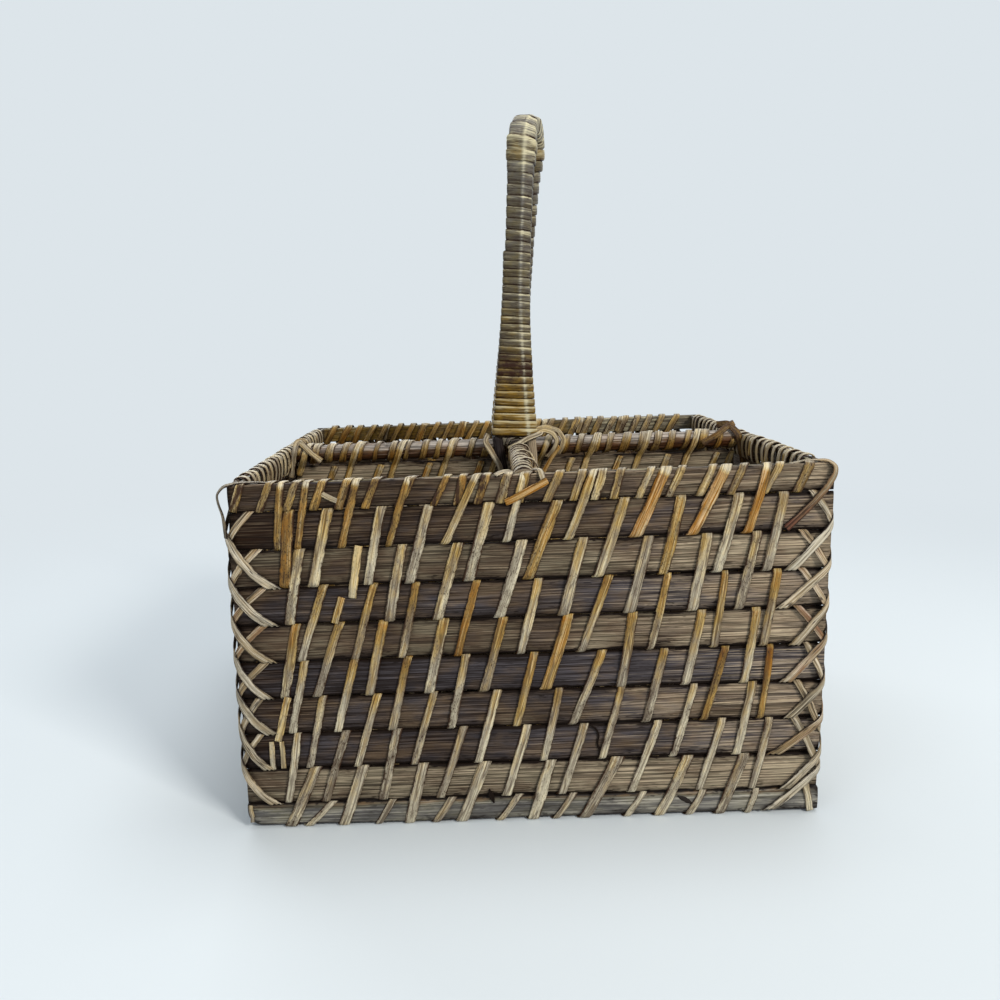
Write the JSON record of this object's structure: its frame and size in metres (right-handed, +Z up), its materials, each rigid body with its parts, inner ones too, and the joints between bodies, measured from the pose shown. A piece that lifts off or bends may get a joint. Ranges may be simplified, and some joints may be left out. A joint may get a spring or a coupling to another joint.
{
  "type": "cutlery caddy",
  "caption": "Square basket caddy of bamboo slats bound with slanted cane, laced corners, crossed dividers and a tall narrow cane-wrapped loop handle.",
  "frame": {"origin": "middle of the underside of the base panel, on the floor", "axes": "+Z up, front wall faces -Y, +X to the right seen from the front"},
  "size_m": [0.2502, 0.2284, 0.3167],
  "materials": {
    "wall_bamboo": "dark aged split bamboo, fine fibre grain along each slat",
    "rim_bamboo": "aged split bamboo, satin",
    "foot_bamboo": "smoother outer bamboo skin, satin",
    "base_bamboo": "aged split bamboo, dull",
    "divider_bamboo": "lighter split bamboo, dull",
    "bar_cane": "brown cane rod, satin",
    "binding_cane": "golden flat cane, satin with dark flecks",
    "corner_cane": "pale grey-beige flat cane, satin",
    "handle_core": "split bamboo, dull",
    "handle_cane": "honey to grey-brown flat cane, worn satin"
  },
  "bodies": {
    "root": {"front_foot_strip": "foot_bamboo", "back_foot_strip": "foot_bamboo", "left_foot_strip": "foot_bamboo", "right_foot_strip": "foot_bamboo", "front_slat_1": "wall_bamboo", "back_slat_1": "wall_bamboo", "left_slat_1": "wall_bamboo", "right_slat_1": "wall_bamboo", "front_slat_2": "wall_bamboo", "back_slat_2": "wall_bamboo", "left_slat_2": "wall_bamboo", "right_slat_2": "wall_bamboo", "front_slat_3": "wall_bamboo", "back_slat_3": "wall_bamboo", "left_slat_3": "wall_bamboo", "right_slat_3": "wall_bamboo", "front_slat_4": "wall_bamboo", "back_slat_4": "wall_bamboo", "left_slat_4": "wall_bamboo", "right_slat_4": "wall_bamboo", "front_slat_5": "wall_bamboo", "back_slat_5": "wall_bamboo", "left_slat_5": "wall_bamboo", "right_slat_5": "wall_bamboo", "front_slat_6": "wall_bamboo", "back_slat_6": "wall_bamboo", "left_slat_6": "wall_bamboo", "right_slat_6": "wall_bamboo", "front_slat_7": "wall_bamboo", "back_slat_7": "wall_bamboo", "left_slat_7": "wall_bamboo", "right_slat_7": "wall_bamboo", "front_slat_8": "wall_bamboo", "back_slat_8": "wall_bamboo", "left_slat_8": "wall_bamboo", "right_slat_8": "wall_bamboo", "front_rim_slat": "rim_bamboo", "back_rim_slat": "rim_bamboo", "left_rim_slat": "rim_bamboo", "right_rim_slat": "rim_bamboo", "inner_rim_hoop": "rim_bamboo", "base_panel": "base_bamboo", "rim_whipping_front": "binding_cane", "rim_whipping_back": "binding_cane", "rim_whipping_left": "binding_cane", "rim_whipping_right": "binding_cane", "corner_lacing_front_left": "corner_cane", "corner_lacing_front_right": "corner_cane", "corner_lacing_back_left": "corner_cane", "corner_lacing_back_right": "corner_cane", "cross_divider_panel": "divider_bamboo", "long_divider_panel": "divider_bamboo", "cross_divider_bar": "bar_cane", "long_divider_bar_front": "bar_cane", "long_divider_bar_rear": "bar_cane", "cross_bar_whipping": "binding_cane", "long_bar_whipping": "binding_cane", "handle_core": "handle_core", "handle_wrap_near": "handle_cane", "handle_wrap_far": "handle_cane"}
  },
  "joints": []
}
